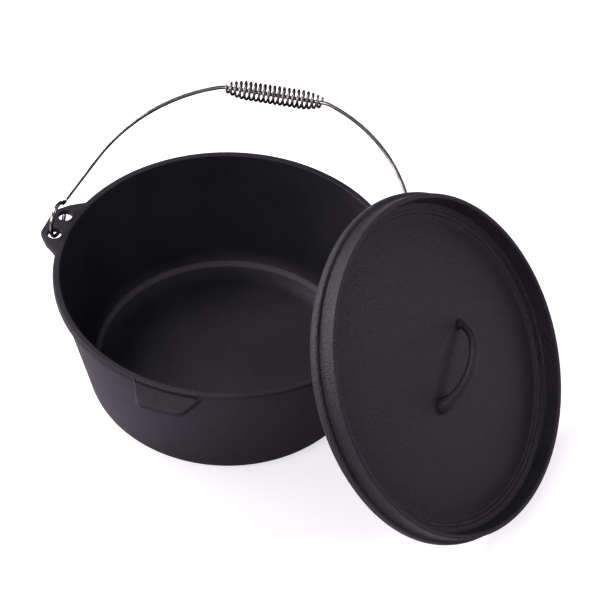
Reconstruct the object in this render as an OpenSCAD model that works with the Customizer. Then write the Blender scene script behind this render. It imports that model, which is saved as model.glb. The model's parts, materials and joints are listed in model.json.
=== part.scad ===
// Deep cast-iron dutch oven: pot with cast ears, lug and feet, lid with a raised coal flange
// and a cast loop handle, wire bail hooked through the ears, and a coiled spring grip on the bail.
// Millimetres, +Z up. The origin is on the pot's axis, on the plane that its feet stand on.
// +X runs along the line through the ears, and the lug is on the -Y side.

/* [Pot] */
// Outer radius of the rim's top edge
rim_r = 175; // [140:1:220]
// Depth of the casting from its rim to its outer bottom
body_h = 145.5; // [115:0.5:185]
// How far the rim's bead stands out from the wall
rim_proud = 2.6; // [1:0.1:5]
// Height of the rim's bead
rim_h = 9; // [6:0.5:16]
// Inward slope of the wall
draft = 11.2; // [4:0.1:13.5]
// Thickness of the wall
wall = 4.5; // [3.5:0.1:7]
// Thickness of the bottom
bottom_t = 8; // [4:0.1:10]
// Radius between the outer wall and the bottom
outer_corner_r = 18; // [10:1:28]
// Radius between the inner wall and the floor
inner_corner_r = 30; // [15:1:45]

/* [Ears] */
// Width of the straight part of the ear's outer edge
ear_edge_w = 28; // [24:1:40]
// Width of the ear at its shoulders
ear_shoulder_w = 63; // [58:1:84]
// Width of the ear where it meets the rim
ear_root_w = 79; // [70:1:100]
// Thickness of the ear
ear_t = 6; // [4:0.5:8]
// Radius of the ear's outer corners
ear_corner_r = 9; // [5:0.5:11]
// Radius of the two holes in each ear
hole_r = 7; // [6:0.5:8]
// Distance between the centres of the two holes
hole_pitch = 28; // [24:1:34]
// Metal left between a hole and the ear's outer edge
hole_edge = 7.3; // [5:0.1:12]

/* [Lug] */
// How far the lug stands out past the rim
lug_out = 22; // [10:1:35]
// Width of the lug where it meets the wall
lug_root_w = 66; // [50:1:90]
// Width of the lug's outer edge, between its rounded corners
lug_edge_w = 30; // [20:1:36]
// Radius of the lug's corners
lug_corner_r = 11; // [4:0.5:12]
// Thickness of the lug
lug_t = 6; // [4:0.5:10]
// Drop of the lug's top below the rim's top
lug_drop = 3.5; // [1:0.5:8]

/* [Feet] */
// Height of the feet
foot_h = 3.5; // [2:0.5:12]
// Radius of each foot
foot_r = 5; // [3:0.5:9]

/* [Lid] */
// How much smaller the lid's edge is than the rim, on the radius
lid_inset = 4.6; // [0:0.1:5.2]
// Height of the lid's base ring
ring_h = 9.5; // [8:0.5:14]
// Height of the coal flange's top above the lid's seat
flange_h = 26; // [20:0.5:40]
// How far the flange is set in from the base ring
flange_inset = 4.4; // [4.2:0.1:10]
// Thickness of the flange at its top
flange_t = 5; // [4:0.1:8]
// Height of the domed plate's centre above the lid's seat
dome_h = 22; // [15:0.5:27]
// Thickness of the lid's plate
plate_t = 5; // [4:0.1:7]
// Depth of the locating lip below the lid's seat
lip_h = 4; // [3:0.5:8]
// Clearance between the locating lip and the pot's inner wall, on the radius
lip_clear = 1.6; // [0.8:0.1:3]

/* [Lid handle] */
// Distance between the middles of the handle's two ends
loop_span = 88; // [70:1:110]
// Height of the handle's top above the plate under its ends
loop_rise = 33; // [26:1:42]
// Thickness of the handle's bar
loop_d = 10.5; // [8:0.5:13]
// Radius of the boss at one end of the handle
boss_r = 7.8; // [6:0.1:9]

/* [Bail] */
// Diameter of the bail's wire
wire_d = 4; // [3:0.5:4.5]
// Height of the arch's top above the hinge axis
arch_rise = 202; // [160:1:250]
// How far the arch's widest part would lie in from the hooks
arm_step = 8.6; // [6:0.1:12]
// Height of the hook's middle above the ear's top face
hook_lift = 6; // [5:0.5:8]
// How far the bail leans back from upright
bail_lean = 67.4; // [60:0.1:80]

/* [Grip] */
// Length of the spring grip
grip_len = 105; // [70:1:112]
// Outer radius of the grip at its middle
grip_r = 10.2; // [8:0.1:12]
// Outer radius of the grip at its ends
grip_end_r = 5.6; // [5.2:0.1:7]
// Diameter of the grip's wire
coil_d = 2.6; // [1.6:0.1:2.8]
// Number of turns
coil_turns = 20; // [12:1:22]
// Angle from the top of the arch to the grip's middle
grip_shift = 4.4; // [-20:0.2:20]

/* [Lid at rest] */
// Lean of the lid from upright
lid_lean = 38.1; // [30:0.1:50]
// Direction in which the lid stands, counted from +X
lid_turn = -12; // [-30:1:0]
// Space between the ear's outer edge and the plane of the lid's seat, at the rim's height
lid_gap = 23.7; // [18:0.1:80]
// Turn of the lid about its own axis
lid_spin = 116; // [0:1:360]

/* [Hidden] */

iron = "#2b2a2d";
steel = "#b9b6b3";
dark_steel = "#6b6a6a";
turns = 72;                              // facets in a full turn of the pot and the lid

rim_edge_r = 1.6;                        // rounding of the rim's outer top edge
mouth_edge_r = 1;                        // rounding of the rim's inner top edge
bead_cove = 6;                           // height over which the bead runs out into the wall
rim_z = foot_h + body_h;                 // height of the rim's top
wall_r = rim_r - rim_proud;              // outer wall, carried up to the rim's height
wall_gap = wall / cos(draft);            // wall thickness along the radius
inner_r = wall_r - wall_gap;             // radius of the mouth
floor_z = foot_h + bottom_t;             // top of the pot's floor

hole_x = rim_r + hole_r + 0.2;           // the ear's holes lie just outside the rim
ear_reach = hole_x + hole_r + hole_edge; // distance from the pot's axis to the ear's edge
shoulder_r = 6;                          // rounding of the ear's shoulders
root_sink = 7;                           // the ear and the lug start this far inside the rim

foot_ring_r = outer_at(foot_h + outer_corner_r) - outer_corner_r / cos(draft) - 2;
foot_sink = 2;                           // the feet run up into the bottom

lid_r = rim_r - lid_inset;               // outer radius of the lid's base ring
ring_edge_r = 3;                         // rounding of the base ring
ring_cove_r = 2;                         // cove between the base ring and the flange
flange_r = lid_r - flange_inset;         // outer radius of the flange
flange_edge_r = 1.8;                     // rounding of the flange's top
tray_r = flange_r - flange_t;            // inner radius of the flange's top
tray_foot_r = tray_r - 1.5;              // the flange thickens a little towards its foot
tray_fillet_r = 3;                       // fillet inside the flange's foot
tray_z = 8;                              // height of the ledge inside the flange
ledge_w = 9;                             // width of that ledge
ledge_step = 3;                          // drop from the ledge to the plate's edge
plate_r = tray_foot_r - ledge_w - ledge_step;
plate_z = tray_z - ledge_step;           // height of the plate's edge
dome_r = (pow(plate_r, 2) + pow(dome_h - plate_z, 2)) / (2 * (dome_h - plate_z));
lip_r = inner_r - lip_clear;             // outer radius of the locating lip
lip_w = 5;                               // width of the locating lip

wire_r = wire_d / 2;
hinge_z = rim_z + hook_lift;             // height of the bail's hinge axis
hook_half = hole_pitch / 2 + 1;          // the hook crosses the ear this far from its middle
hook_r = sqrt(pow(hook_half, 2) + pow(hook_lift + ear_t / 2, 2));
hook_x = hole_x + 1.8;                   // plane of the hook
hook_bend_r = 6;                         // bend between the hook and the arm
hook_bend_s = sqrt(pow(hook_r + hook_bend_r, 2) - pow(hook_bend_r, 2));
hook_start = 90 + atan(hook_bend_r / hook_bend_s);
hook_end = 332 + bail_lean;              // the hook's tip lies inside the rear hole
arch_r = hook_x - arm_step;
arch_s = arch_rise - arch_r;             // height of the arch's centre above the hinge axis
arm_drop = arch_s - hook_bend_s;         // the straight arms run from the hooks, tangent to the arch
arch_end = acos(arch_r / norm([hook_x, arm_drop])) - atan(arm_drop / hook_x);

chord_bend_r = 20;                       // bends at the ends of the straight under the grip
chord_d = sqrt(pow(arch_r, 2) - pow(grip_len / 2 + 3, 2));
chord_open = acos((chord_d - chord_bend_r) / (arch_r - chord_bend_r));
chord_half = (arch_r - chord_bend_r) * sin(chord_open);

coil_r = coil_d / 2;
coil_sides = 7;
coil_steps = 18;                         // rings of points in each turn
coil_taper = 0.22;                       // share of the length over which each end narrows

seat_z = max((lid_r - ring_edge_r) * cos(lid_lean) + ring_edge_r * (1 - sin(lid_lean)),
    lip_r * cos(lid_lean) + lip_h * sin(lid_lean));
lid_x = ear_reach + lid_gap + (rim_z - seat_z) * tan(lid_lean);

// Outer and inner radius of the wall at a height
function outer_at(z) = wall_r - (rim_z - z) * tan(draft);
function inner_at(z) = outer_at(z) - wall_gap;

// Angle that a quarter of a millimetre takes up on a bend of radius r
function lap(r) = atan(0.25 / r);

// Points of an arc about [x, y], from angle a to angle b, both included
function arc(x, y, r, a, b, n) =
    [for (i = [0:n]) let (t = a + (b - a) * i / n) [x + r * cos(t), y + r * sin(t)]];

// An outline's upper half, with its mirror image below it
function both_sides(half) =
    concat(half, [for (i = [len(half) - 1:-1:0]) [half[i].x, -half[i].y]]);

// ---- pot

module pot_section() {
    corner_z = foot_h + outer_corner_r;
    corner_x = outer_at(corner_z) - outer_corner_r / cos(draft);
    fillet_z = floor_z + inner_corner_r;
    fillet_x = inner_at(fillet_z) - inner_corner_r / cos(draft);
    bead_z = rim_z - rim_h;
    polygon(concat(
        [[0, foot_h]],
        arc(corner_x, corner_z, outer_corner_r, -90, -draft, 8),
        [[outer_at(bead_z - bead_cove), bead_z - bead_cove]],
        [[outer_at(bead_z) + rim_proud * 0.5, bead_z - bead_cove * 0.2]],
        [[rim_r - 0.4, bead_z + 1.5], [rim_r, bead_z + 3]],
        arc(rim_r - rim_edge_r, rim_z - rim_edge_r, rim_edge_r, 0, 90, 4),
        arc(inner_r + mouth_edge_r, rim_z - mouth_edge_r, mouth_edge_r, 90, 180, 3),
        arc(fillet_x, fillet_z, inner_corner_r, -draft, -90, 11),
        [[0, floor_z]]
    ));
}

// Plate that points along +X, with rounded shoulders and rounded outer corners
module ear() {
    edge = ear_edge_w / 2;
    shoulder_x = rim_r + ear_corner_r - shoulder_r + 3;
    translate([0, 0, rim_z - ear_t]) linear_extrude(ear_t) difference() {
        polygon(both_sides(concat(
            arc(ear_reach - ear_corner_r, edge, ear_corner_r, 0, 30, 3),
            arc(shoulder_x, ear_shoulder_w / 2 - shoulder_r, shoulder_r, 28, 63, 3),
            [[sqrt(pow(rim_r, 2) - pow(ear_root_w / 2, 2)), ear_root_w / 2]],
            [[rim_r - root_sink - 10, ear_root_w / 2]]
        )));
        circle(r = (rim_r + inner_r) / 2, $fn = turns);
    }
}

module ear_holes() {
    for (side = [-1, 1])
        translate([hole_x, side * hole_pitch / 2, rim_z - ear_t - 1])
            cylinder(r = hole_r, h = ear_t + 2, $fn = 48);
}

// Tab below the rim, pointing along +X
module lug() {
    reach = rim_r + lug_out;
    translate([0, 0, rim_z - lug_drop - lug_t]) linear_extrude(lug_t) difference() {
        polygon(both_sides(concat(
            [[reach + 0.6, 0]],
            arc(reach - lug_corner_r, lug_edge_w / 2, lug_corner_r, 8, 66, 5),
            [[sqrt(pow(rim_r, 2) - pow(lug_root_w / 2, 2)), lug_root_w / 2]],
            [[rim_r - root_sink - 8, lug_root_w / 2]]
        )));
        circle(r = (wall_r + inner_r) / 2, $fn = turns);
    }
}

module foot() {
    rotate_extrude($fn = 32) polygon(concat(
        [[0, 0]],
        arc(foot_r - 1, 1, 1, -90, 0, 3),
        [[foot_r + 0.6, foot_h + foot_sink], [0, foot_h + foot_sink]]
    ));
}

module pot() {
    color(iron) difference() {
        union() {
            rotate_extrude($fn = turns) pot_section();
            for (turn = [0, 180]) rotate([0, 0, turn]) ear();
            rotate([0, 0, -90]) lug();
            for (turn = [-90, 30, 150]) rotate([0, 0, turn]) translate([foot_ring_r, 0, 0]) foot();
        }
        for (turn = [0, 180]) rotate([0, 0, turn]) ear_holes();
    }
}

// ---- lid, in its own frame: seat on z = 0, top side up

// Height of the plate's upper surface at radius r
function dome_z(r) = dome_h - dome_r + sqrt(pow(dome_r, 2) - pow(r, 2));

module lid_section() {
    n = 9;
    under_z = tray_z - plate_t;
    under_r = lip_r - lip_w;
    groove = plate_r + ledge_step + 3;
    polygon(concat(
        [for (i = [0:n]) [plate_r * i / n, dome_z(plate_r * i / n)]],
        [[plate_r + 1.6, plate_z + 0.4], [plate_r + 2.6, tray_z - 0.6], [plate_r + ledge_step + 0.6, tray_z]],
        [[groove, tray_z], [groove + 0.6, tray_z - 0.8], [groove + 1.6, tray_z - 0.8], [groove + 2.2, tray_z]],
        arc(tray_foot_r - tray_fillet_r, tray_z + tray_fillet_r, tray_fillet_r, -90, -4, 3),
        arc(tray_r + flange_edge_r, flange_h - flange_edge_r, flange_edge_r, 180, 90, 3),
        arc(flange_r - flange_edge_r, flange_h - flange_edge_r, flange_edge_r, 90, 0, 3),
        arc(flange_r + ring_cove_r, ring_h + ring_cove_r, ring_cove_r, 180, 270, 2),
        arc(lid_r - ring_edge_r, ring_h - ring_edge_r, ring_edge_r, 90, 0, 4),
        arc(lid_r - ring_edge_r, ring_edge_r, ring_edge_r, 0, -90, 4),
        [[lip_r + 0.6, 0], [lip_r, -0.6]],
        arc(lip_r - 1, -lip_h + 1, 1, 0, -90, 2),
        arc(under_r + 1.5, -lip_h + 1.5, 1.5, 270, 180, 2),
        [[under_r, under_z - 2], [under_r - 2, under_z], [plate_r + 4, under_z], [plate_r + 1.5, plate_z - plate_t + 0.4]],
        [for (i = [n:-1:0]) [plate_r * i / n, dome_z(plate_r * i / n) - plate_t]]
    ));
}

// Arched bar across the plate, thicker at its boss
module lid_handle() {
    bar_r = loop_d / 2;
    rise = loop_rise - bar_r;
    half = loop_span / 2;
    bow_r = (pow(half, 2) + pow(rise, 2)) / (2 * rise);
    open = acos((bow_r - rise) / bow_r);
    base = dome_z(half);
    translate([0, 0, base + rise - bow_r]) rotate([90, 0, 0]) rotate([0, 0, 90 - open])
        rotate_extrude(angle = 2 * open, $fn = 80)
            translate([bow_r, 0]) circle(r = bar_r, $fn = 24);
    translate([half, 0, base + 1]) sphere(r = bar_r, $fn = 24);
    translate([-half, 0, base + boss_r - plate_t + 0.8]) sphere(r = boss_r, $fn = 32);
}

module lid() {
    color(iron) rotate([0, 0, lid_turn]) translate([lid_x, 0, seat_z])
        rotate([0, 90 - lid_lean, 0]) rotate([0, 0, lid_spin]) {
            rotate_extrude($fn = turns) lid_section();
            lid_handle();
        }
}

// ---- bail, in its own frame: hinge axis along X through the origin, arch standing up in XZ

// Round bar bent about the Y axis: radius r about [x, z], from angle a to angle b counted from +X to +Z
module bent_xz(x, z, r, a, b) {
    translate([x, 0, z]) rotate([90, 0, 0]) rotate([0, 0, a])
        rotate_extrude(angle = b - a, $fn = 120) translate([r, 0]) circle(r = wire_r, $fn = 16);
}

// The same about the X axis, with angles counted from +Y to +Z
module bent_yz(x, y, z, r, a, b) {
    translate([x, y, z]) rotate([90, 0, 90]) rotate([0, 0, a])
        rotate_extrude(angle = b - a, $fn = 60) translate([r, 0]) circle(r = wire_r, $fn = 16);
}

// Slight swelling of the bar where two bends meet
module ball(p) {
    translate(p) sphere(r = wire_r + 0.25, $fn = 20);
}

module straight_wire(p, q) {
    d = q - p;
    translate(p) rotate([0, acos(d.z / norm(d)), atan2(d.y, d.x)])
        cylinder(r = wire_r, h = norm(d), $fn = 16);
}

module hook_and_arm(side) {
    x = side * hook_x;
    bent_yz(x, 0, 0, hook_r, hook_start - lap(hook_r), hook_end);
    ball([x, hook_r * cos(hook_end), hook_r * sin(hook_end)]);
    ball([x, hook_r * cos(hook_start), hook_r * sin(hook_start)]);
    bent_yz(x, -hook_bend_r, hook_bend_s, hook_bend_r, hook_start - 180, 0);
    ball([x, 0, hook_bend_s]);
    arm_end = [side * arch_r * cos(arch_end), 0, arch_s + arch_r * sin(arch_end)];
    straight_wire([x, 0, hook_bend_s], arm_end);
    ball(arm_end);
}

// Turned so that +Z passes through the middle of the grip
module at_grip() {
    translate([0, 0, arch_s]) rotate([0, -grip_shift, 0]) children();
}

module bail() {
    color(steel) translate([0, 0, hinge_z]) rotate([-bail_lean, 0, 0]) {
        for (side = [-1, 1]) hook_and_arm(side);
        bent_xz(0, arch_s, arch_r, arch_end + lap(arch_r), 90 + grip_shift - chord_open);
        bent_xz(0, arch_s, arch_r, 90 + grip_shift + chord_open, 180 - arch_end - lap(arch_r));
        at_grip() {
            straight_wire([-chord_half, 0, chord_d], [chord_half, 0, chord_d]);
            bent_xz(chord_half, chord_d - chord_bend_r, chord_bend_r, 90 - chord_open, 90);
            bent_xz(-chord_half, chord_d - chord_bend_r, chord_bend_r, 90, 90 + chord_open);
            for (side = [-1, 1]) {
                ball([side * chord_half, 0, chord_d]);
                ball([side * arch_r * sin(chord_open), 0, arch_r * cos(chord_open)]);
            }
        }
    }
}

// ---- grip, a coil round the straight part of the bail

// Radius of the coil's centre line at share t of the grip's length
function coil_at(t) = let (k = min(1, min(t, 1 - t) / coil_taper))
    grip_end_r - coil_r + (grip_r - grip_end_r) * sin(90 * k);

// Point of the coil's surface at ring i and side j, with the coil's axis along X
function coil_point(i, j) = let (
        t = i / (coil_turns * coil_steps),
        turn = 360 * i / coil_steps,
        side = 360 * j / coil_sides,
        r = coil_at(t) + coil_r * cos(side)
    ) [(t - 0.5) * (grip_len - coil_d) + coil_r * sin(side), r * cos(turn), r * sin(turn)];

module grip() {
    rings = coil_turns * coil_steps;
    last = rings * coil_sides;
    color(dark_steel) translate([0, 0, hinge_z]) rotate([-bail_lean, 0, 0]) at_grip()
        translate([0, 0, chord_d]) polyhedron(
            points = [for (i = [0:rings]) for (j = [0:coil_sides - 1]) coil_point(i, j)],
            faces = concat(
                [[for (j = [0:coil_sides - 1]) j]],
                [[for (j = [coil_sides - 1:-1:0]) last + j]],
                [for (i = [0:rings - 1]) for (j = [0:coil_sides - 1])
                    let (a = i * coil_sides + j, b = i * coil_sides + (j + 1) % coil_sides)
                        [a, a + coil_sides, b]],
                [for (i = [0:rings - 1]) for (j = [0:coil_sides - 1])
                    let (a = i * coil_sides + j, b = i * coil_sides + (j + 1) % coil_sides)
                        [b, a + coil_sides, b + coil_sides]]
            )
        );
}

pot();
lid();
bail();
grip();
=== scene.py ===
import bpy
import json
from math import sin, cos, tan, atan2, acos, sqrt, radians, degrees, pi, hypot
from mathutils import Vector, Matrix


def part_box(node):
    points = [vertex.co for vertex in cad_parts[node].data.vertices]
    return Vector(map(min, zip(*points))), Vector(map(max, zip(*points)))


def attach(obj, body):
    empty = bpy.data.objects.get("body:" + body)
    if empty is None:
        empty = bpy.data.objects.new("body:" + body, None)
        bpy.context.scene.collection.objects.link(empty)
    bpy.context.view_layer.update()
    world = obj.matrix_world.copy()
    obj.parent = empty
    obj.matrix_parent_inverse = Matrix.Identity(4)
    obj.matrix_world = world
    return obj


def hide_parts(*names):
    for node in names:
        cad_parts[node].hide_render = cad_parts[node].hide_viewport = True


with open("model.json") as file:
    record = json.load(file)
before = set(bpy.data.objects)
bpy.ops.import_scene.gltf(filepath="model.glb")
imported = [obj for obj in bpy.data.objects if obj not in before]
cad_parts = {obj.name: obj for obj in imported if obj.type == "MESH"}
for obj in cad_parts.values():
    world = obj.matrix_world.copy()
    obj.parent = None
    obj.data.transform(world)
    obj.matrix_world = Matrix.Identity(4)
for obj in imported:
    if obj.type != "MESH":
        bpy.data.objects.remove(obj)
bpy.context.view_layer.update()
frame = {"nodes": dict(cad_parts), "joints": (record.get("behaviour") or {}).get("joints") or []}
joints = {j["name"]: j for j in frame["joints"]}
mm = 0.001
print("frame loaded")


def arc(cx, cz, r, a, b, n):
    # points of an arc, both ends included, angles in degrees
    turns = [radians(a + (b - a) * i / n) for i in range(n + 1)]
    return [(cx + r * cos(t), cz + r * sin(t)) for t in turns]


def steps(p, q, n):
    # n points from just after p up to q
    return [(p[0] + (q[0] - p[0]) * i / n, p[1] + (q[1] - p[1]) * i / n) for i in range(1, n + 1)]


def mix(a, b, t):
    return a + (b - a) * t


def ease(t):
    t = min(1.0, max(0.0, t))
    return t * t * (3 - 2 * t)


def newPiece(name, verts, faces, scale=mm, angle=42):
    mesh = bpy.data.meshes.new(name)
    mesh.from_pydata([Vector(v) * scale for v in verts], [], faces)
    mesh.update()
    obj = bpy.data.objects.new(name, mesh)
    bpy.context.scene.collection.objects.link(obj)
    smooth(obj, angle)
    return obj


def smooth(obj, angle=42):
    for p in obj.data.polygons:
        p.use_smooth = True
    obj.data.set_sharp_from_angle(angle=radians(angle))


def spin(columns, angles):
    # closed skin from one profile of (r, z) per angle; the first and last points of each lie on the axis
    n = len(columns[0])
    m = len(columns)
    verts = [(0, 0, columns[0][0][1]), (0, 0, columns[0][-1][1])]
    for col, a in zip(columns, angles):
        c, s = cos(radians(a)), sin(radians(a))
        verts += [(r * c, r * s, z) for r, z in col[1:-1]]
    k = n - 2
    at = lambda j, i: 2 + (j % m) * k + i
    faces = []
    for j in range(m):
        faces.append((0, at(j + 1, 0), at(j, 0)))
        faces += [(at(j, i), at(j + 1, i), at(j + 1, i + 1), at(j, i + 1)) for i in range(k - 1)]
        faces.append((at(j, k - 1), at(j + 1, k - 1), 1))
    return verts, faces


def sweep(path, radii, sides, up=None):
    # tube along a list of points, with a radius for each and rounded ends
    pts = [Vector(p) for p in path]
    n = len(pts)
    tans = [(pts[min(i + 1, n - 1)] - pts[max(i - 1, 0)]).normalized() for i in range(n)]
    ref = Vector(up) if up else (Vector((0, 0, 1)) if abs(tans[0].z) < 0.9 else Vector((0, 1, 0)))
    rings = []
    for i, (p, t) in enumerate(zip(pts, tans)):
        side = (ref - t * ref.dot(t)).normalized()
        if not up:
            ref = side
        other = t.cross(side)
        rings.append((p, t, side, other, radii[i]))
    verts, faces = [], []

    def ring(p, side, other, r):
        for j in range(sides):
            a = 2 * pi * j / sides
            verts.append(tuple(p + side * (cos(a) * r) + other * (sin(a) * r)))

    caps = (80, 60, 40, 20)
    p, t, side, other, r = rings[0]
    for a in caps:
        ring(p - t * (r * sin(radians(a))), side, other, r * cos(radians(a)))
    for p, t, side, other, r in rings:
        ring(p, side, other, r)
    for a in reversed(caps):
        ring(p + t * (r * sin(radians(a))), side, other, r * cos(radians(a)))
    total = n + 2 * len(caps)
    for i in range(total - 1):
        for j in range(sides):
            a, b = i * sides + j, i * sides + (j + 1) % sides
            faces.append((a, b, b + sides, a + sides))
    first, last = rings[0], rings[-1]
    verts.append(tuple(first[0] - first[1] * first[4]))
    verts.append(tuple(last[0] + last[1] * last[4]))
    top = (total - 1) * sides
    for j in range(sides):
        k = (j + 1) % sides
        faces.append((k, j, len(verts) - 2))
        faces.append((top + j, top + k, len(verts) - 1))
    return verts, faces


def cut(obj, tools, how):
    # joins or subtracts the tools for good
    for tool in tools:
        mod = obj.modifiers.new("cut", "BOOLEAN")
        mod.operation = how
        mod.solver = "EXACT"
        mod.object = tool
        deps = bpy.context.evaluated_depsgraph_get()
        mesh = bpy.data.meshes.new_from_object(obj.evaluated_get(deps))
        obj.modifiers.clear()
        old = obj.data
        obj.data = mesh
        bpy.data.meshes.remove(old)
        data = tool.data
        bpy.data.objects.remove(tool)
        bpy.data.meshes.remove(data)
    return obj


potShape = {
    "rimR": 175.0, "wallR": 172.4, "draft": 11.2, "wall": 4.5,
    "bodyBottom": 3.5, "floor": 11.5, "outerCorner": 18.0, "innerCorner": 30.0,
    "rimEdge": 1.6, "mouthEdge": 1.2, "beadUnder": 141.0, "beadFillet": 3.0,
    "earUnder": 6.0, "lugDrop": 3.5, "lugThick": 6.0,
    "holeX": 182.2, "holeY": 14.0, "holeR": 7.0,
    "tabEdge": 1.5, "tabFillet": 4.5,
    "footR": 5.0, "footRing": 126.8, "footEdge": 1.4, "footAngles": (-90, 30, 150),
}


def outlineOf(points):
    # turns an outline's half into (angle, reach) pairs, rising in angle
    return sorted((degrees(atan2(u, v)), hypot(u, v)) for v, u in points)


def reachAt(outline, angle, plain):
    a = abs(angle)
    if a >= outline[-1][0]:
        return plain
    for (a0, r0), (a1, r1) in zip(outline, outline[1:]):
        if a0 <= a <= a1:
            return max(plain, mix(r0, r1, (a - a0) / max(1e-6, a1 - a0)))
    return outline[0][1] / cos(radians(a))


def softReach(outline, angle, plain, spread=0.55):
    # the same, with its corners rounded
    w = [(-2, 1), (-1, 3), (0, 4), (1, 3), (2, 1)]
    return sum(k * reachAt(outline, angle + d * spread / 2, plain) for d, k in w) / 12.0


def potColumn(angle):
    s = potShape
    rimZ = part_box("pot")[1].z / mm
    slope = tan(radians(s["draft"]))
    tilt = cos(radians(s["draft"]))
    gap = s["wall"] / tilt
    outer = lambda z: s["wallR"] - (rimZ - z) * slope
    earAngle = (angle + 90) % 180 - 90
    lugAngle = (angle + 90 + 180) % 360 - 180
    earOut = softReach(earLine, earAngle, s["rimR"])
    lugOut = softReach(lugLine, lugAngle, s["rimR"])
    ear = ease((earOut - s["rimR"]) / 5)
    lug = ease((lugOut - s["rimR"]) / 3)
    out = max(earOut, lugOut)
    top = mix(rimZ, rimZ - s["lugDrop"], lug)
    under = mix(mix(s["beadUnder"], rimZ - s["earUnder"], ear), rimZ - s["lugDrop"] - s["lugThick"], lug)
    edge = mix(s["rimEdge"], s["tabEdge"], max(ear, lug))
    fillet = mix(s["beadFillet"], s["tabFillet"], max(ear, lug))
    cornerZ = s["bodyBottom"] + s["outerCorner"]
    cornerX = outer(cornerZ) - s["outerCorner"] / tilt
    p = [(0, s["bodyBottom"]), (30, s["bodyBottom"]), (80, s["bodyBottom"])]
    p += arc(cornerX, cornerZ, s["outerCorner"], -90, -s["draft"], 10)
    filletZ = under - fillet
    filletX = outer(filletZ) + fillet * tilt
    p += steps(p[-1], (outer(filletZ - 4), filletZ - 4), 12)
    p += arc(filletX, filletZ, fillet, 180 - s["draft"], 92, 5)
    p += steps(p[-1], (max(out - edge, filletX + 0.2), under), 4)
    p += arc(out - edge, under + edge, edge, -72, 0, 3)
    p += arc(out - edge, top - edge, edge, 0, 90, 4)
    # inwards over the tab's top, then up the rim's side where the tab lies lower
    topIn = (s["rimR"] - 2.2, rimZ)
    lowIn = (s["rimR"] + 0.5, top)
    p += steps(p[-1], (mix(topIn[0], lowIn[0], lug), mix(topIn[1], lowIn[1], lug)), 4)
    flat = [(s["rimR"] - 2.2 - 0.25 * i, rimZ) for i in range(1, 7)]
    side = [(s["rimR"] + 0.05, top + 0.5)]
    side += arc(s["rimR"] - s["rimEdge"], rimZ - s["rimEdge"], s["rimEdge"], 0, 90, 4)
    p += [(mix(a[0], b[0], lug), mix(a[1], b[1], lug)) for a, b in zip(flat, side)]
    mouth = s["wallR"] - gap + s["mouthEdge"]
    p += arc(mouth, rimZ - s["mouthEdge"], s["mouthEdge"], 90, 180, 4)
    bowlZ = s["floor"] + s["innerCorner"]
    bowlX = outer(bowlZ) - gap - s["innerCorner"] / tilt
    bowl = arc(bowlX, bowlZ, s["innerCorner"], -s["draft"], -90, 18)
    p += steps(p[-1], bowl[0], 12)[:-1] + bowl
    p += [(80, s["floor"]), (30, s["floor"]), (0, s["floor"])]
    return p


def makePot():
    s = potShape
    angles = set(float(a) for a in range(0, 360, 2))
    for centre, half in ((0, 16), (180, 16), (270, 12.5)):
        angles |= {round((centre - half + 0.4 * i) % 360, 3) for i in range(int(half * 5) + 1)}
    angles = sorted(angles)
    verts, faces = spin([potColumn(a) for a in angles], angles)
    pot = newPiece("potCasting", verts, faces)
    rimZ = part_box("pot")[1].z / mm
    low, high = rimZ - s["earUnder"], rimZ
    r = s["holeR"]
    # straight through the ear, with its edge eased above and below
    holeLine = [(0, low - 3), (r + 1.6, low - 3), (r + 0.9, low - 0.1), (r + 0.25, low + 0.6),
                (r, low + 1.3), (r, high - 1.3),
                (r + 0.25, high - 0.6), (r + 0.9, high + 0.1), (r + 1.6, high + 2), (0, high + 2)]
    turn = [i * 7.5 for i in range(48)]
    holes = []
    for x in (-s["holeX"], s["holeX"]):
        for y in (-s["holeY"], s["holeY"]):
            v, f = spin([holeLine] * len(turn), turn)
            holes.append(newPiece("hole", [(a + x, b + y, c) for a, b, c in v], f))
    cut(pot, holes, "DIFFERENCE")
    e = s["footEdge"]
    footLine = ([(0, 0)] + arc(s["footR"] - e, e, e, -90, 0, 4)
                + [(s["footR"] + 0.3, 2.6), (s["footR"] + 1.4, 3.4), (s["footR"] + 1.6, 5.5), (0, 5.5)])
    turn = [i * 10 for i in range(36)]
    feet = []
    for a in s["footAngles"]:
        x, y = s["footRing"] * cos(radians(a)), s["footRing"] * sin(radians(a))
        v, f = spin([footLine] * len(turn), turn)
        feet.append(newPiece("foot", [(p + x, q + y, c) for p, q, c in v], f))
    cut(pot, feet, "UNION")
    smooth(pot)
    return pot


# half outlines of the ears and the lug, from above
earLine = outlineOf([(196.5, 0)] + arc(187.5, 14, 9, 0, 30, 6)
                    + arc(181, 25.5, 6, 28, 63, 5) + [(170.5, 39.5)])
lugLine = outlineOf([(197.4, 0)] + arc(186, 15, 11, 8, 66, 8) + [(171.9, 33)])
pot = makePot()
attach(pot, "pot")
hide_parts("pot")
print("pot made")


lidShape = {
    "edgeR": 170.4, "ring": 9.5, "ringEdge": 3.0, "flangeR": 166.0, "flangeTop": 26.0, "flangeThick": 5.0,
    "ledge": 8.0, "dome": 22.0, "plateEdge": 5.0, "plateR": 147.5, "plate": 5.0,
    "lip": 4.0, "lipR": 166.2, "lipWide": 5.0,
    "loopSpan": 88.0, "loopRise": 33.0, "loopBar": 10.5, "loopBoss": 7.6, "loopTurn": 116.0,
}


def lidPlace():
    # the lid's axis is the way it lifts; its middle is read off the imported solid
    n = Vector(joints["lid_lift"]["axis"]).normalized()
    u = Vector((0, 0, 1)).cross(n).normalized()
    v = n.cross(u)
    pts = [p.co for p in frame["nodes"]["lid"].data.vertices]
    mid = lambda d: (max(p.dot(d) for p in pts) + min(p.dot(d) for p in pts)) / 2
    centre = n * (min(p.dot(n) for p in pts) + lidShape["lip"] * mm) + u * mid(u) + v * mid(v)
    # columns: the lid's own x, y and z
    m = Matrix((-v, u, n)).transposed().to_4x4()
    m.translation = centre
    return m


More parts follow.
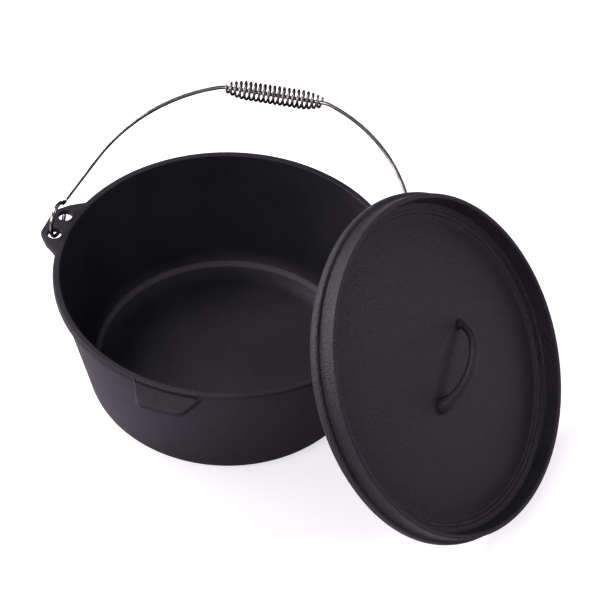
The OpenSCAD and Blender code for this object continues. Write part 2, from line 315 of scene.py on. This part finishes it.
def domeZ(r):
    s = lidShape
    h = s["dome"] - s["plateEdge"]
    big = (s["plateR"] ** 2 + h * h) / (2 * h)
    return s["dome"] - big + sqrt(big * big - r * r)


def makeLid():
    s = lidShape
    n = 22
    plateR = s["plateR"]
    inner = s["flangeR"] - s["flangeThick"]
    foot = inner - 1.5
    line = [(plateR * i / n, domeZ(plateR * i / n)) for i in range(n + 1)]
    line += [(plateR + 0.8, s["plateEdge"] + 0.02), (plateR + 1.5, s["plateEdge"] + 0.5),
             (plateR + 2.1, s["ledge"] - 1.1), (plateR + 2.7, s["ledge"] - 0.35), (plateR + 3.6, s["ledge"])]
    g = plateR + 5.4
    line += [(g, s["ledge"]), (g + 0.6, s["ledge"] - 0.25), (g + 1.2, s["ledge"] - 0.4),
             (g + 1.8, s["ledge"] - 0.25), (g + 2.4, s["ledge"])]
    line += arc(foot - 3, s["ledge"] + 3, 3, -90, -5, 5)
    line += steps(line[-1], (inner, s["flangeTop"] - 2.0), 4)[:-1]
    line += arc(inner + 2.0, s["flangeTop"] - 2.0, 2.0, 180, 90, 5)
    line += arc(s["flangeR"] - 2.0, s["flangeTop"] - 2.0, 2.0, 90, 0, 5)
    line += steps(line[-1], (s["flangeR"], s["ring"] + 2.2), 4)[:-1]
    line += arc(s["flangeR"] + 2.2, s["ring"] + 2.2, 2.2, 180, 270, 4)
    line += arc(s["edgeR"] - s["ringEdge"], s["ring"] - s["ringEdge"], s["ringEdge"], 90, 0, 6)
    line += arc(s["edgeR"] - s["ringEdge"], s["ringEdge"], s["ringEdge"], 0, -90, 6)
    line += [(s["lipR"] + 0.6, 0), (s["lipR"], -0.6)]
    line += arc(s["lipR"] - 1.2, -s["lip"] + 1.2, 1.2, 0, -90, 4)
    lipIn = s["lipR"] - s["lipWide"]
    line += arc(lipIn + 1.5, -s["lip"] + 1.5, 1.5, 270, 180, 4)
    under = s["ledge"] - s["plate"]
    line += [(lipIn, under - 2.2), (lipIn - 0.6, under - 0.8), (lipIn - 2.2, under), (plateR + 5, under),
             (plateR + 3.2, under - 0.5), (plateR + 1.6, domeZ(plateR) - s["plate"] + 0.6)]
    line += [(plateR * i / n, domeZ(plateR * i / n) - s["plate"]) for i in range(n, -1, -1)]
    turn = [i * 1.5 for i in range(240)]
    verts, faces = spin([line[::-1]] * len(turn), turn)
    lid = newPiece("lidCasting", verts, faces)

    # loop handle: an arch of round bar that swells into the plate at both ends
    bar = s["loopBar"] / 2
    rise = s["loopRise"] - bar
    half = s["loopSpan"] / 2
    bow = (half ** 2 + rise ** 2) / (2 * rise)
    wide = acos((bow - rise) / bow)
    base = domeZ(half)
    path, radii = [], []
    count = 56
    for i in range(count + 1):
        t = 2 * i / count - 1
        a = t * wide
        path.append((bow * sin(a), 0, base + rise - bow + bow * cos(a)))
        low = (s["loopBoss"] - bar) * ease((-t - 0.62) / 0.3)
        thin = 1.6 * ease((t - 0.15) / 0.55)
        flare = 1.8 * ease((t - 0.86) / 0.14)
        radii.append(bar - 0.25 + low - thin + flare)
    verts, faces = sweep(path, radii, 28, up=(0, 1, 0))
    c, k = cos(radians(s["loopTurn"])), sin(radians(s["loopTurn"]))
    verts = [(x * c - y * k, x * k + y * c, z) for x, y, z in verts]
    loop = newPiece("loop", verts, faces)
    cut(lid, [loop], "UNION")
    smooth(lid)
    lid.matrix_world = lidPlace()
    return lid


lid = makeLid()
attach(lid, "lid")
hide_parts("lid")
print("lid made")


bailShape = {
    "wire": 2.0, "lean": 67.4, "hookX": 184.0, "hookHalf": 15.0, "hookDrop": 9.0, "hookBend": 6.0,
    "archR": 175.4, "archTop": 202.0, "gripShift": 4.4, "gripBend": 20.0, "gripSpan": 105.0,
}


def bailPath():
    s = bailShape
    hookR = hypot(s["hookHalf"], s["hookDrop"])
    b = s["hookBend"]
    bendS = sqrt((hookR + b) ** 2 - b * b)
    start = 90 + degrees(atan2(b, bendS))
    end = 332 + s["lean"]
    archR = s["archR"]
    archS = s["archTop"] - archR
    drop = archS - bendS
    archEnd = degrees(acos(archR / hypot(s["hookX"], drop)) - atan2(drop, s["hookX"]))
    armX, armS = arc(0, archS, archR, archEnd, archEnd, 1)[0]
    chord = sqrt(archR ** 2 - (s["gripSpan"] / 2 + 3) ** 2)
    opening = degrees(acos((chord - s["gripBend"]) / (archR - s["gripBend"])))
    half = (archR - s["gripBend"]) * sin(radians(opening))

    def hook(x):
        # from the tip, round through the ear, to the foot of the arm
        ring = [(x, p, q) for p, q in arc(0, 0, hookR, end, start, 60)]
        bend = [(x, p, q) for p, q in arc(-b, bendS, b, start - 180, 0, 8)]
        return ring + bend[1:]

    right = hook(s["hookX"])
    left = hook(-s["hookX"])
    mid = 90 + s["gripShift"]
    share = [i / 16 for i in range(1, 16)]
    path = right + [(mix(s["hookX"], armX, t), 0, mix(bendS, armS, t)) for t in share]
    path += [(x, 0, z) for x, z in arc(0, archS, archR, archEnd, mid - opening, 60)]
    c, k = cos(radians(s["gripShift"])), sin(radians(s["gripShift"]))
    flat = [(x, z) for x, z in arc(half, chord - s["gripBend"], s["gripBend"], 90 - opening, 90, 5)]
    flat += [(mix(half, -half, i / 20), chord) for i in range(1, 20)]
    flat += [(x, z) for x, z in arc(-half, chord - s["gripBend"], s["gripBend"], 90, 90 + opening, 5)]
    path += [(x * c - z * k, 0, archS + x * k + z * c) for x, z in flat][1:-1]
    path += [(x, 0, z) for x, z in arc(0, archS, archR, mid + opening, 180 - archEnd, 60)]
    path += [(mix(-s["hookX"], -armX, t), 0, mix(bendS, armS, t)) for t in reversed(share)]
    path += left[::-1]
    pts = [Vector(p) for p in path]
    for _ in range(3):
        pts = [pts[0]] + [(a + b * 2 + c) / 4 for a, b, c in zip(pts, pts[1:], pts[2:])] + [pts[-1]]
    return pts


def bailPlace():
    m = Matrix.Rotation(-radians(bailShape["lean"]), 4, "X")
    m.translation = Vector(joints["bail_swing"]["pos_m"])
    return m


def makeBail():
    pts = bailPath()
    verts, faces = sweep(pts, [bailShape["wire"]] * len(pts), 20)
    bail = newPiece("bailWire", verts, faces, angle=70)
    bail.matrix_world = bailPlace()
    return bail


bail = makeBail()
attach(bail, "bail")
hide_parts("bail")
print("bail made")


gripShape = {"length": 105.0, "midR": 10.2, "endR": 5.6, "wire": 1.3, "turns": 20, "taper": 0.22}


def makeGrip():
    s = gripShape
    stepsPerTurn = 30
    n = s["turns"] * stepsPerTurn
    path = []
    for i in range(n + 1):
        t = i / n
        k = min(1.0, min(t, 1 - t) / s["taper"])
        r = s["endR"] - s["wire"] + (s["midR"] - s["endR"]) * sin(k * pi / 2)
        a = 2 * pi * i / stepsPerTurn
        path.append(((t - 0.5) * (s["length"] - 2 * s["wire"]), r * cos(a), r * sin(a)))
    verts, faces = sweep(path, [s["wire"]] * len(path), 10)
    grip = newPiece("gripSpring", verts, faces, angle=75)
    axis = Vector(joints["grip_spin"]["axis"]).normalized()
    lean = radians(bailShape["lean"])
    across = Vector((0, -cos(lean), sin(lean)))
    m = Matrix((axis, across, axis.cross(across))).transposed().to_4x4()
    m.translation = Vector(joints["grip_spin"]["pos_m"])
    grip.matrix_world = m
    return grip


grip = makeGrip()
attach(grip, "grip")
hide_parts("grip")
print("grip made")


def group(name, ins, outs):
    g = bpy.data.node_groups.new(name, "ShaderNodeTree")
    for n, kind, value in ins:
        k = g.interface.new_socket(name=n, in_out="INPUT", socket_type=kind)
        k.default_value = value
    for n, kind in outs:
        g.interface.new_socket(name=n, in_out="OUTPUT", socket_type=kind)
    return g, g.nodes.new("NodeGroupInput"), g.nodes.new("NodeGroupOutput")


def node(tree, kind, **values):
    n = tree.nodes.new(kind)
    for key, value in values.items():
        if key in n.inputs:
            n.inputs[key].default_value = value
        else:
            setattr(n, key, value)
    return n


skinOutputs = [("Color", "NodeSocketColor"), ("Roughness", "NodeSocketFloat"),
               ("Height", "NodeSocketFloat")]


def castSkin():
    # pebbled skin of sand-cast, seasoned iron: colour, roughness and height
    g, i, o = group("castSkin",
                    [("Dark", "NodeSocketColor", (0.012, 0.012, 0.014, 1)),
                     ("Light", "NodeSocketColor", (0.03, 0.028, 0.033, 1)),
                     ("Grain", "NodeSocketFloat", 900.0),
                     ("Blotch", "NodeSocketFloat", 14.0),
                     ("Smoothest", "NodeSocketFloat", 0.4),
                     ("Roughest", "NodeSocketFloat", 0.6),
                     # the last four inputs set a painted highlight ring: its colour, radius, width and the
                     # height it stays below
                     ("Painted Highlight", "NodeSocketColor", (0.03, 0.028, 0.033, 1)),
                     ("Painted Highlight Radius", "NodeSocketFloat", 0.0),
                     ("Painted Highlight Width", "NodeSocketFloat", 0.0027),
                     ("Painted Highlight Top", "NodeSocketFloat", 0.0)],
                    skinOutputs)
    link = g.links.new
    place = g.nodes.new("ShaderNodeTexCoord")
    pebble = node(g, "ShaderNodeTexVoronoi", feature="SMOOTH_F1", Smoothness=0.7)
    fine = node(g, "ShaderNodeTexNoise", Detail=3.0, Roughness=0.6)
    blotch = node(g, "ShaderNodeTexNoise", Detail=4.0, Roughness=0.55, Distortion=0.3)
    pit = node(g, "ShaderNodeTexNoise", Detail=2.0)
    for t in (pebble, fine, blotch, pit):
        link(place.outputs["Object"], t.inputs["Vector"])
    finer = node(g, "ShaderNodeMath", operation="MULTIPLY")
    finer.inputs[1].default_value = 1.7
    link(i.outputs["Grain"], pebble.inputs["Scale"])
    link(i.outputs["Grain"], finer.inputs[0])
    link(finer.outputs[0], fine.inputs["Scale"])
    link(i.outputs["Blotch"], blotch.inputs["Scale"])
    coarser = node(g, "ShaderNodeMath", operation="MULTIPLY")
    coarser.inputs[1].default_value = 0.12
    link(i.outputs["Grain"], coarser.inputs[0])
    link(coarser.outputs[0], pit.inputs["Scale"])
    # height: pebbles, fine sand, and rare shallow pits
    sand = node(g, "ShaderNodeMath", operation="MULTIPLY_ADD")
    sand.inputs[1].default_value = 0.55
    link(fine.outputs["Fac"], sand.inputs[0])
    link(pebble.outputs["Distance"], sand.inputs[2])
    pits = node(g, "ShaderNodeMapRange")
    for k, val in (("From Min", 0.28), ("From Max", 0.36), ("To Min", -0.5), ("To Max", 0.0)):
        pits.inputs[k].default_value = val
    link(pit.outputs["Fac"], pits.inputs["Value"])
    height = node(g, "ShaderNodeMath", operation="ADD")
    link(sand.outputs[0], height.inputs[0])
    link(pits.outputs["Result"], height.inputs[1])
    link(height.outputs[0], o.inputs["Height"])
    # colour: slow blotches of seasoning with a little speckle
    speckle = node(g, "ShaderNodeMath", operation="MULTIPLY_ADD")
    speckle.inputs[1].default_value = 0.35
    link(fine.outputs["Fac"], speckle.inputs[0])
    link(blotch.outputs["Fac"], speckle.inputs[2])
    spread = node(g, "ShaderNodeMapRange")
    for k, val in (("From Min", 0.4), ("From Max", 0.95), ("To Min", 0.0), ("To Max", 1.0)):
        spread.inputs[k].default_value = val
    link(speckle.outputs[0], spread.inputs["Value"])
    tint = node(g, "ShaderNodeMix", data_type="RGBA")
    link(spread.outputs["Result"], tint.inputs["Factor"])
    link(i.outputs["Dark"], tint.inputs["A"])
    link(i.outputs["Light"], tint.inputs["B"])
    # a thin painted highlight ring at one radius, below one height: a lighter, grainy band standing in for
    # the light caught along the inner corner above the floor
    apart = node(g, "ShaderNodeSeparateXYZ")
    link(place.outputs["Object"], apart.inputs["Vector"])
    flat = node(g, "ShaderNodeCombineXYZ")
    link(apart.outputs["X"], flat.inputs["X"])
    link(apart.outputs["Y"], flat.inputs["Y"])
    radius = node(g, "ShaderNodeVectorMath", operation="LENGTH")
    link(flat.outputs["Vector"], radius.inputs[0])
    off = node(g, "ShaderNodeMath", operation="SUBTRACT")
    link(radius.outputs["Value"], off.inputs[0])
    link(i.outputs["Painted Highlight Radius"], off.inputs[1])
    away = node(g, "ShaderNodeMath", operation="ABSOLUTE")
    link(off.outputs[0], away.inputs[0])
    near = node(g, "ShaderNodeMath", operation="DIVIDE")
    link(away.outputs[0], near.inputs[0])
    link(i.outputs["Painted Highlight Width"], near.inputs[1])
    band = node(g, "ShaderNodeMapRange", interpolation_type="SMOOTHSTEP")
    for k, val in (("From Min", 0.55), ("From Max", 1.15), ("To Min", 1.0), ("To Max", 0.0)):
        band.inputs[k].default_value = val
    link(near.outputs[0], band.inputs["Value"])
    low = node(g, "ShaderNodeMath", operation="LESS_THAN")
    link(apart.outputs["Z"], low.inputs[0])
    link(i.outputs["Painted Highlight Top"], low.inputs[1])
    inside = node(g, "ShaderNodeMath", operation="MULTIPLY")
    link(band.outputs["Result"], inside.inputs[0])
    link(low.outputs[0], inside.inputs[1])
    grainy = node(g, "ShaderNodeMapRange")
    for k, val in (("From Min", 0.3), ("From Max", 0.6), ("To Min", 0.55), ("To Max", 1.0)):
        grainy.inputs[k].default_value = val
    link(fine.outputs["Fac"], grainy.inputs["Value"])
    wearAndPaintedHighlight = node(g, "ShaderNodeMath", operation="MULTIPLY")
    link(inside.outputs[0], wearAndPaintedHighlight.inputs[0])
    link(grainy.outputs["Result"], wearAndPaintedHighlight.inputs[1])
    final = node(g, "ShaderNodeMix", data_type="RGBA")
    link(wearAndPaintedHighlight.outputs[0], final.inputs["Factor"])
    link(tint.outputs["Result"], final.inputs["A"])
    link(i.outputs["Painted Highlight"], final.inputs["B"])
    link(final.outputs["Result"], o.inputs["Color"])
    rough = node(g, "ShaderNodeMapRange")
    link(spread.outputs["Result"], rough.inputs["Value"])
    link(i.outputs["Smoothest"], rough.inputs["To Min"])
    link(i.outputs["Roughest"], rough.inputs["To Max"])
    link(rough.outputs["Result"], o.inputs["Roughness"])
    return g


def wireSkin():
    # drawn steel wire: faint lines, dull spots and a darker film
    g, i, o = group("wireSkin",
                    [("Bright", "NodeSocketColor", (0.6, 0.58, 0.57, 1)),
                     ("Film", "NodeSocketColor", (0.25, 0.22, 0.21, 1)),
                     ("Scale", "NodeSocketFloat", 120.0),
                     ("Smoothest", "NodeSocketFloat", 0.12),
                     ("Roughest", "NodeSocketFloat", 0.35)],
                    skinOutputs)
    link = g.links.new
    place = g.nodes.new("ShaderNodeTexCoord")
    cloud = node(g, "ShaderNodeTexNoise", Detail=5.0, Roughness=0.65)
    fine = node(g, "ShaderNodeTexNoise", Detail=2.0)
    for t in (cloud, fine):
        link(place.outputs["Object"], t.inputs["Vector"])
    link(i.outputs["Scale"], cloud.inputs["Scale"])
    many = node(g, "ShaderNodeMath", operation="MULTIPLY")
    many.inputs[1].default_value = 14.0
    link(i.outputs["Scale"], many.inputs[0])
    link(many.outputs[0], fine.inputs["Scale"])
    wearAndPaintedHighlight = node(g, "ShaderNodeMapRange")
    for k, val in (("From Min", 0.42), ("From Max", 0.68)):
        wearAndPaintedHighlight.inputs[k].default_value = val
    link(cloud.outputs["Fac"], wearAndPaintedHighlight.inputs["Value"])
    tint = node(g, "ShaderNodeMix", data_type="RGBA")
    link(wearAndPaintedHighlight.outputs["Result"], tint.inputs["Factor"])
    link(i.outputs["Bright"], tint.inputs["A"])
    link(i.outputs["Film"], tint.inputs["B"])
    link(tint.outputs["Result"], o.inputs["Color"])
    rough = node(g, "ShaderNodeMapRange")
    link(wearAndPaintedHighlight.outputs["Result"], rough.inputs["Value"])
    link(i.outputs["Smoothest"], rough.inputs["To Min"])
    link(i.outputs["Roughest"], rough.inputs["To Max"])
    link(rough.outputs["Result"], o.inputs["Roughness"])
    link(fine.outputs["Fac"], o.inputs["Height"])
    return g


def finish(name, skin, values, metal, bump, depth, specular=0.5, tint=(1, 1, 1, 1), edge=None):
    mat = bpy.data.materials.new(name)
    mat.use_nodes = True
    t = mat.node_tree
    t.nodes.clear()
    out = t.nodes.new("ShaderNodeOutputMaterial")
    body = t.nodes.new("ShaderNodeBsdfPrincipled")
    body.inputs["Metallic"].default_value = metal
    body.inputs["Specular IOR Level"].default_value = specular
    body.inputs["Specular Tint"].default_value = tint
    use = t.nodes.new("ShaderNodeGroup")
    use.node_tree = skin
    for k, val in values.items():
        use.inputs[k].default_value = val
    relief = t.nodes.new("ShaderNodeBump")
    relief.inputs["Strength"].default_value = bump
    relief.inputs["Distance"].default_value = depth
    link = t.links.new
    colour = use.outputs["Color"]
    if edge:
        # painted reflection: darkens the colour towards the piece's sides, as a dark room mirrored in it
        # would
        turned = t.nodes.new("ShaderNodeLayerWeight")
        turned.inputs["Blend"].default_value = 0.5
        ramp = t.nodes.new("ShaderNodeMapRange")
        ramp.inputs["From Min"].default_value = 0.25
        ramp.inputs["From Max"].default_value = 0.62
        sides = t.nodes.new("ShaderNodeMix")
        sides.data_type = "RGBA"
        sides.inputs["B"].default_value = edge
        link(turned.outputs["Facing"], ramp.inputs["Value"])
        link(ramp.outputs["Result"], sides.inputs["Factor"])
        link(colour, sides.inputs["A"])
        colour = sides.outputs["Result"]
    link(colour, body.inputs["Base Color"])
    link(use.outputs["Roughness"], body.inputs["Roughness"])
    link(use.outputs["Height"], relief.inputs["Height"])
    link(relief.outputs["Normal"], body.inputs["Normal"])
    link(body.outputs["BSDF"], out.inputs["Surface"])
    return mat


iron = castSkin()
steel = wireSkin()
# the pot's finish carries a painted highlight: a lighter ring at radius 136.2 mm, below 30 mm, along the
# inner corner above the floor
potFinish = finish("seasonedPotIron", iron,
                   {"Dark": (0.0085, 0.0078, 0.0100, 1), "Light": (0.018, 0.0165, 0.0205, 1), "Grain": 620.0,
                    "Blotch": 11.0, "Smoothest": 0.44, "Roughest": 0.6, "Painted Highlight": (0.07, 0.062, 0.066, 1),
                    "Painted Highlight Radius": 0.1362, "Painted Highlight Top": 0.03}, 0.0, 0.45, 0.0005, 0.24,
                   (0.9, 0.79, 1.0, 1))
lidFinish = finish("seasonedLidIron", iron,
                   {"Dark": (0.0085, 0.0078, 0.0096, 1), "Light": (0.019, 0.0172, 0.0205, 1), "Grain": 560.0,
                    "Blotch": 13.0, "Smoothest": 0.42, "Roughest": 0.58}, 0.0, 0.7, 0.0008, 0.36,
                   (0.93, 0.83, 1.0, 1))
# the wire and the spring get edge colours: a painted dark reflection towards their sides
bailFinish = finish("platedWire", steel,
                    {"Bright": (0.44, 0.40, 0.39, 1), "Film": (0.09, 0.075, 0.072, 1), "Scale": 55.0,
                     "Smoothest": 0.1, "Roughest": 0.24}, 1.0, 0.05, 0.0001, tint=(0.06, 0.05, 0.05, 1),
                    edge=(0.03, 0.025, 0.026, 1))
gripFinish = finish("darkSpringSteel", steel,
                    {"Bright": (0.36, 0.325, 0.32, 1), "Film": (0.055, 0.046, 0.044, 1), "Scale": 90.0,
                     "Smoothest": 0.18, "Roughest": 0.38}, 1.0, 0.08, 0.0001, tint=(0.06, 0.05, 0.05, 1),
                    edge=(0.02, 0.017, 0.017, 1))
for piece, look in ((pot, potFinish), (lid, lidFinish), (bail, bailFinish), (grip, gripFinish)):
    piece.data.materials.clear()
    piece.data.materials.append(look)
for name, look in (("pot", potFinish), ("lid", lidFinish), ("bail", bailFinish), ("grip", gripFinish)):
    cad = frame["nodes"][name].data
    cad.materials.clear()
    cad.materials.append(look)
print("finishes made")


studio = {
    "floor": (0.7, 0.635, 0.72, 1), "floorGlow": 0.65, "floorSize": 9.0, "world": 0.3,
    # each light: power, size, place and aim
    "keyLight": (30.0, 1.3, (-2.2, -0.35, 0.5), (0.1, 0, 0.12)),
    "frontLight": (26.0, 1.6, (-0.5, -2.0, 1.9), (0.05, 0, 0.05)),
    "topLight": (50.0, 1.0, (-1.5, 0.35, 1.9), (0.05, 0, 0.05)),
    "rightLight": (11.0, 0.9, (2.0, 0.5, 1.3), (0.2, -0.05, 0.13)),
}


def makeStudio():
    s = studio
    h = s["floorSize"] / 2
    floor = newPiece("floor", [(-h, -h, 0), (h, -h, 0), (h, h, 0), (-h, h, 0)], [(0, 1, 2, 3)], scale=1)
    look = bpy.data.materials.new("palePaper")
    look.use_nodes = True
    body = look.node_tree.nodes["Principled BSDF"]
    body.inputs["Base Color"].default_value = s["floor"]
    body.inputs["Roughness"].default_value = 0.9
    body.inputs["Specular IOR Level"].default_value = 0.1
    body.inputs["Emission Color"].default_value = (1, 1, 1, 1)
    # glows for camera rays alone, so it stays white without lighting the iron from below
    seen = node(look.node_tree, "ShaderNodeLightPath")
    glow = node(look.node_tree, "ShaderNodeMath", operation="MULTIPLY")
    glow.inputs[1].default_value = s["floorGlow"]
    look.node_tree.links.new(seen.outputs["Is Camera Ray"], glow.inputs[0])
    look.node_tree.links.new(glow.outputs[0], body.inputs["Emission Strength"])
    floor.data.materials.append(look)
    world = bpy.data.worlds.new("studio")
    bpy.context.scene.world = world
    world.use_nodes = True
    back = world.node_tree.nodes["Background"]
    back.inputs["Color"].default_value = (1, 1, 1, 1)
    back.inputs["Strength"].default_value = s["world"]

    def panel(name, power, size, at, aim):
        lamp = bpy.data.lights.new(name, "AREA")
        lamp.shape = "DISK"
        lamp.size = size
        lamp.energy = power
        obj = bpy.data.objects.new(name, lamp)
        bpy.context.scene.collection.objects.link(obj)
        obj.location = at
        obj.rotation_euler = (Vector(aim) - Vector(at)).to_track_quat("-Z", "Y").to_euler()

    for name in ("keyLight", "frontLight", "topLight", "rightLight"):
        panel(name, *s[name])
    print("studio made")


def makeCamera():
    # looks down at 45.5 degrees from the front, 16 degrees to the right, with a slight roll
    view = {"azimuth": 16.0, "elevation": 45.53, "roll": 2.64, "away": 1.8356,
            "right": -0.0713, "down": -0.0334, "lens": 110.2, "sensor": 36}
    a, e, r = (radians(view[k]) for k in ("azimuth", "elevation", "roll"))
    forward = Vector((-sin(a) * cos(e), cos(a) * cos(e), -sin(e)))
    right0 = Vector((cos(a), sin(a), 0))
    down0 = forward.cross(right0)
    right = right0 * cos(r) - down0 * sin(r)
    down = right0 * sin(r) + down0 * cos(r)
    rim = Vector((0, 0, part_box("pot")[1].z))
    cam = bpy.data.cameras.new("camera")
    cam.lens = view["lens"]
    cam.sensor_width = view["sensor"]
    obj = bpy.data.objects.new("camera", cam)
    bpy.context.scene.collection.objects.link(obj)
    m = Matrix((right, -down, -forward)).transposed().to_4x4()
    m.translation = rim - right * view["right"] - down * view["down"] - forward * view["away"]
    obj.matrix_world = m
    bpy.context.scene.camera = obj
    bpy.context.scene.view_settings.view_transform = "Standard"
    print("camera made")


makeStudio()
makeCamera()
